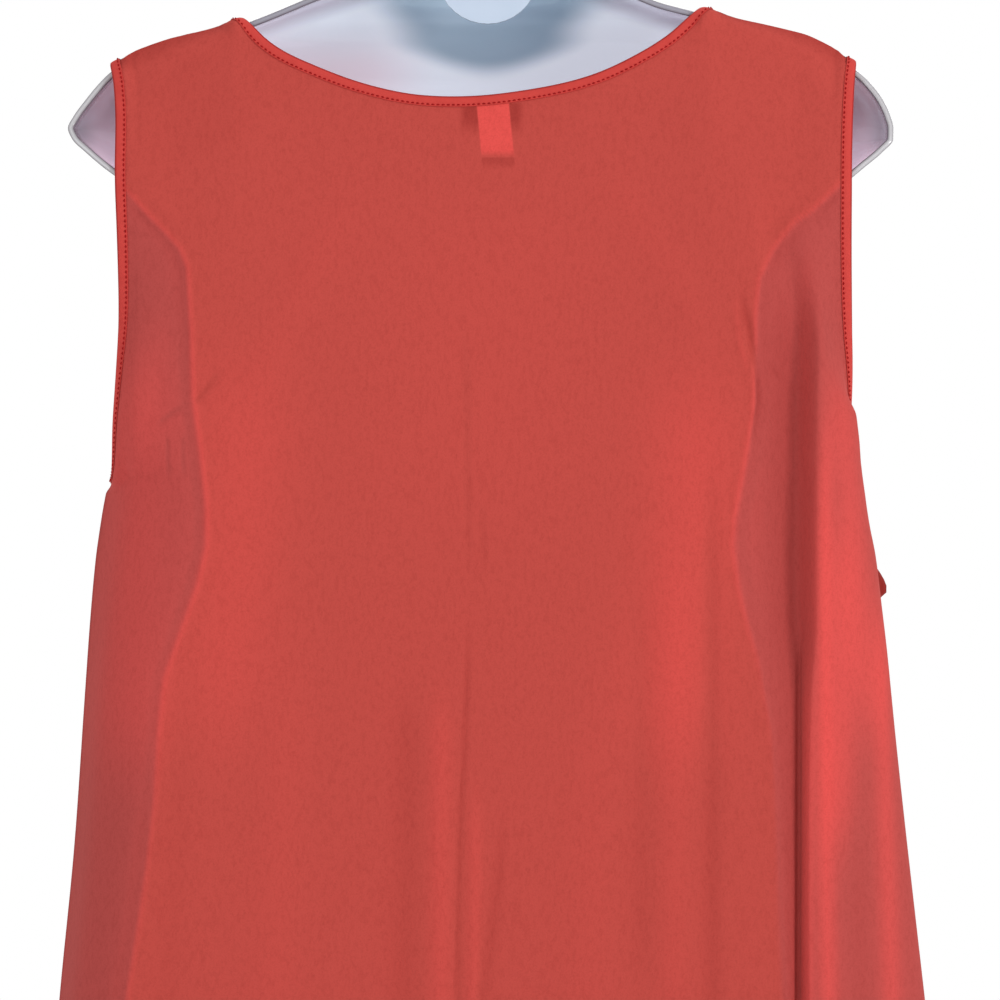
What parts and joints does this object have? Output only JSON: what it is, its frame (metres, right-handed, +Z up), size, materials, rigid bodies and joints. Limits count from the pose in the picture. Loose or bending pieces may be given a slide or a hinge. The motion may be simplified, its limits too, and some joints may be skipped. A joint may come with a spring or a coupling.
{
  "type": "sleeveless blouse on a dress form",
  "caption": "Sleeveless A-line blouse of thin crepe, seen from its back, with a round neck and deep armholes in folded bindings, on a limbless hollow-backed torso form.",
  "frame": {"origin": "on the underside of the form's floor, near its middle, where it rests", "axes": "+Z up, +Y towards the wearer's front, +X towards the wearer's right as seen from the back"},
  "size_m": [0.485, 0.1629, 0.8163],
  "materials": {
    "cloth": "matt crepe",
    "binding": "matt crepe, folded",
    "label": "satin",
    "shell": "gloss"
  },
  "bodies": {
    "root": {"back_panel": "cloth", "front_panel": "cloth", "neck_binding": "binding", "armhole_binding_left": "binding", "armhole_binding_right": "binding", "neck_label": "label", "size_tab": "label", "form_shell": "shell", "form_floor": "shell", "form_neck_cap": "shell", "form_neck_tongue": "shell"}
  },
  "joints": []
}
